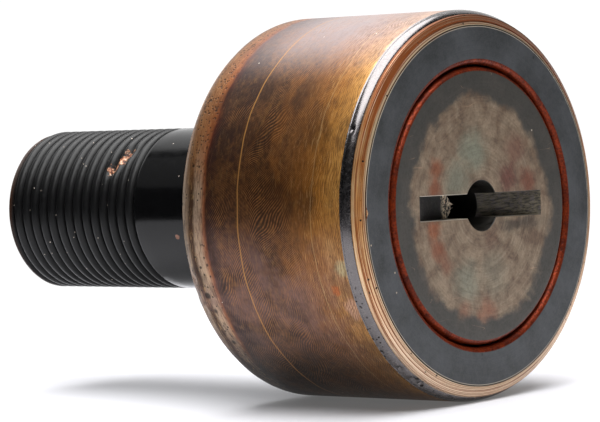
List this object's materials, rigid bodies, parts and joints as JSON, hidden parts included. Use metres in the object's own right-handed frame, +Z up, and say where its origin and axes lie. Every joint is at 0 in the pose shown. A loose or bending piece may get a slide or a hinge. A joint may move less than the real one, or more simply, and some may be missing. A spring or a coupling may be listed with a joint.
{
  "type": "cam follower",
  "caption": "Stud-type cam follower: a thick roller on loose needles round a headed stud with a slot, a grease port and a threaded end.",
  "frame": {"origin": "on the roller's axis, in the clamping shoulder: the outer face of the end plate", "axes": "+Y along the axis towards the threaded end, -Y towards the slotted head; +Z up"},
  "size_m": [0.0636, 0.096, 0.0636],
  "materials": {
    "blackened_steel": "black oxide over turned steel",
    "worn_tread_steel": "heat-browned bearing steel, run in and stained",
    "plate_steel": "dark grey oxide, flat and finely ground",
    "ground_steel": "ground and polished",
    "seal_plastic": "brown moulded plastic, greasy",
    "plug_steel": "plain turned steel"
  },
  "bodies": {
    "stud_assembly": {"stud": "blackened_steel", "end_plate": "plate_steel", "stud_end_plug": "plug_steel"},
    "roller": {"outer_ring": "worn_tread_steel", "front_seal": "seal_plastic", "rear_seal": "seal_plastic"},
    "needle_set": {"needle_01": "ground_steel", "needle_02": "ground_steel", "needle_03": "ground_steel", "needle_04": "ground_steel", "needle_05": "ground_steel", "needle_06": "ground_steel", "needle_07": "ground_steel", "needle_08": "ground_steel", "needle_09": "ground_steel", "needle_10": "ground_steel", "needle_11": "ground_steel", "needle_12": "ground_steel", "needle_13": "ground_steel", "needle_14": "ground_steel", "needle_15": "ground_steel", "needle_16": "ground_steel", "needle_17": "ground_steel", "needle_18": "ground_steel", "needle_19": "ground_steel", "needle_20": "ground_steel", "needle_21": "ground_steel", "needle_22": "ground_steel", "needle_23": "ground_steel", "needle_24": "ground_steel", "needle_25": "ground_steel", "needle_26": "ground_steel"}
  },
  "joints": [
    {"name": "roller_spin", "type": "hinge", "parent": "stud_assembly", "child": "roller", "pos_m": [0, -0.0199, 0], "axis": [0, 1, 0], "continuous": true},
    {"name": "needle_orbit", "type": "hinge", "parent": "stud_assembly", "child": "needle_set", "pos_m": [0, -0.0199, 0], "axis": [0, 1, 0], "continuous": true}
  ],
  "couplings": [
    {"joint": "needle_orbit", "follows": "roller_spin", "ratio": 0.55953}
  ]
}
